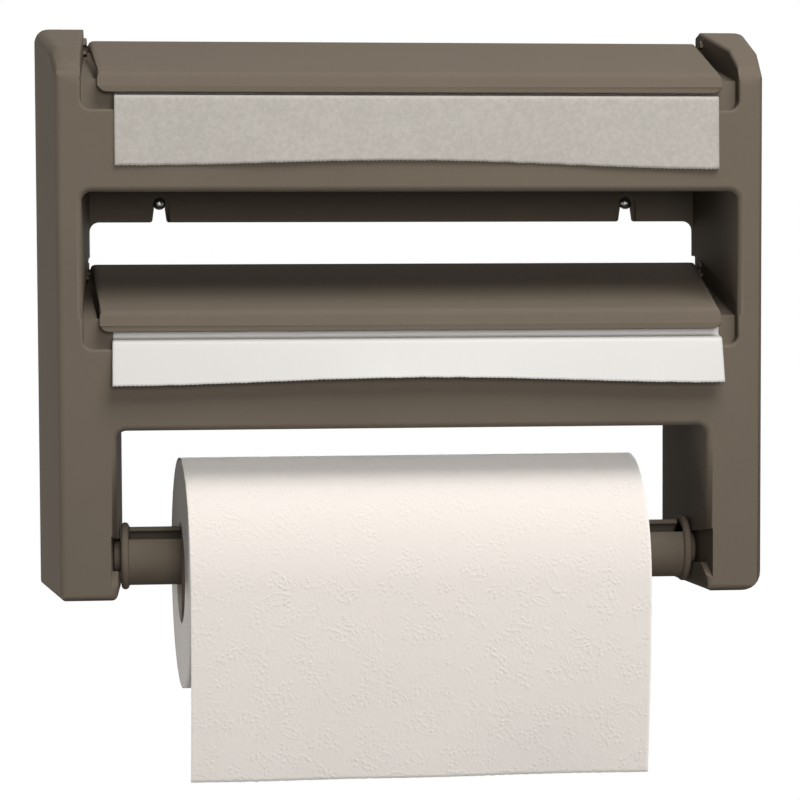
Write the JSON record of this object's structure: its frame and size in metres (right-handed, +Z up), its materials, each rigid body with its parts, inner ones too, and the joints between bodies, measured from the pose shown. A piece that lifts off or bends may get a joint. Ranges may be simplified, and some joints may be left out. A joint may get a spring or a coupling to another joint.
{
  "type": "wrap and towel dispenser",
  "caption": "Wall-hung kitchen dispenser: flared moulded frame with lidded troughs for parchment and wrap above a lift-out rod that carries a roll of paper towel.",
  "frame": {"origin": "on the wall plane, midway between the two wall screws", "axes": "+Z up, +Y into the wall, +X to the right when seen from the front"},
  "size_m": [0.3832, 0.1505, 0.3819],
  "materials": {
    "moulded_taupe": "satin moulded plastic, warm grey-brown",
    "strip_steel": "thin rolled steel",
    "screw_steel": "bright zinc-plated steel",
    "core_board": "plain wound board",
    "parchment": "mottled translucent baking parchment",
    "wrap_paper": "smooth white wrapping paper",
    "towel_paper": "soft embossed towel paper"
  },
  "bodies": {
    "frame": {"main_frame": "moulded_taupe", "wall_screws": "screw_steel", "parchment_tail": "parchment", "wrap_tail": "wrap_paper"},
    "top_lid": {"top_lid": "moulded_taupe", "top_tear_strip": "strip_steel"},
    "middle_lid": {"middle_lid": "moulded_taupe", "middle_tear_strip": "strip_steel"},
    "parchment": {"parchment_core": "core_board", "parchment_roll": "parchment"},
    "wrap": {"wrap_core": "core_board", "wrap_roll": "wrap_paper"},
    "towel_rod": {"towel_rod": "moulded_taupe", "towel_tail": "towel_paper"},
    "towel": {"towel_core": "core_board", "towel_roll": "towel_paper"}
  },
  "joints": [
    {"name": "top_lid_hinge", "type": "hinge", "parent": "frame", "child": "top_lid", "pos_m": [0, -0.016, 0.0808], "axis": [-1, 0, 0], "range_deg": [0, 110]},
    {"name": "middle_lid_hinge", "type": "hinge", "parent": "frame", "child": "middle_lid", "pos_m": [0, -0.016, -0.0368], "axis": [-1, 0, 0], "range_deg": [0, 40]},
    {"name": "parchment_spin", "type": "hinge", "parent": "frame", "child": "parchment", "pos_m": [0, -0.05126, 0.0396], "axis": [1, 0, 0], "continuous": true},
    {"name": "wrap_spin", "type": "hinge", "parent": "frame", "child": "wrap", "pos_m": [0, -0.05126, -0.081], "axis": [1, 0, 0], "continuous": true},
    {"name": "rod_pull", "type": "slide", "parent": "frame", "child": "towel_rod", "axis": [0, -0.9903, 0.1392], "range_m": [0, 0.06]},
    {"name": "towel_spin", "type": "hinge", "parent": "towel_rod", "child": "towel", "pos_m": [0, -0.06081, -0.19153], "axis": [1, 0, 0], "continuous": true}
  ]
}
